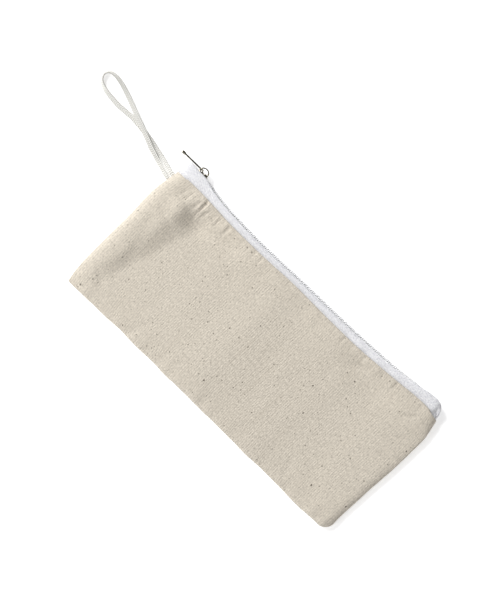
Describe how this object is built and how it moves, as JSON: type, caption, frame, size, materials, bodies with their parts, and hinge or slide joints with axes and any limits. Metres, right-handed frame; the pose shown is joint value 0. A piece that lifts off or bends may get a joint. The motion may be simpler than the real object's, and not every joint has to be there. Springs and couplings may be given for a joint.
{
  "type": "pencil case",
  "caption": "Flat unlined canvas pencil pouch with a coil zip along its top edge, a slider that runs the zip, a swinging pull tab and a braid loop in the side seam.",
  "frame": {"origin": "on the flat back face, midway between the side seams and midway between the bottom fold and the zip's outer edge", "axes": "+X along the zip from the closed-end slider towards the bottom stop, +Y across the pouch towards the zip, +Z out of the front panel"},
  "size_m": [0.2844, 0.1082, 0.0096],
  "materials": {
    "canvas": "natural unbleached plain weave cotton, matt, with seed flecks",
    "sewing_thread": "spun polyester thread",
    "zip_tape": "white woven polyester tape",
    "nylon_coil": "white nylon monofilament, semi-gloss",
    "core_cord": "white filler cord",
    "coil_thread": "white polyester thread",
    "stop_metal": "satin",
    "slider_metal": "antique nickel plate, satin",
    "pull_metal": "antique nickel plate, polished edges",
    "braid": "off-white flat braid with fine cross ribs"
  },
  "bodies": {
    "case": {"front_panel": "canvas", "back_panel": "canvas", "left_seam_thread": "sewing_thread", "right_seam_thread": "sewing_thread", "bottom_seam_thread": "sewing_thread", "left_overcast_thread": "sewing_thread", "right_overcast_thread": "sewing_thread", "bottom_overcast_thread": "sewing_thread", "front_zip_tape": "zip_tape", "back_zip_tape": "zip_tape", "front_zip_seam_thread": "sewing_thread", "back_zip_seam_thread": "sewing_thread", "front_coil": "nylon_coil", "back_coil": "nylon_coil", "front_core_cord": "core_cord", "back_core_cord": "core_cord", "front_coil_stitching": "coil_thread", "back_coil_stitching": "coil_thread", "front_top_stop": "stop_metal", "back_top_stop": "stop_metal", "bottom_stop": "stop_metal", "loop_strap": "braid", "loop_bar_tack": "sewing_thread"},
    "slider": {"slider_body": "slider_metal", "slider_bridge": "slider_metal"},
    "pull": {"pull_tab": "pull_metal"}
  },
  "joints": [
    {"name": "slider_travel", "type": "slide", "parent": "case", "child": "slider", "axis": [1, 0, 0], "range_m": [0, 0.187], "deforming": ["front_coil", "back_coil"]},
    {"name": "pull_swing", "type": "hinge", "parent": "slider", "child": "pull", "pos_m": [-0.0931, 0.05205, 0.0048], "axis": [0, 0, -1], "range_deg": [0, 170]}
  ]
}
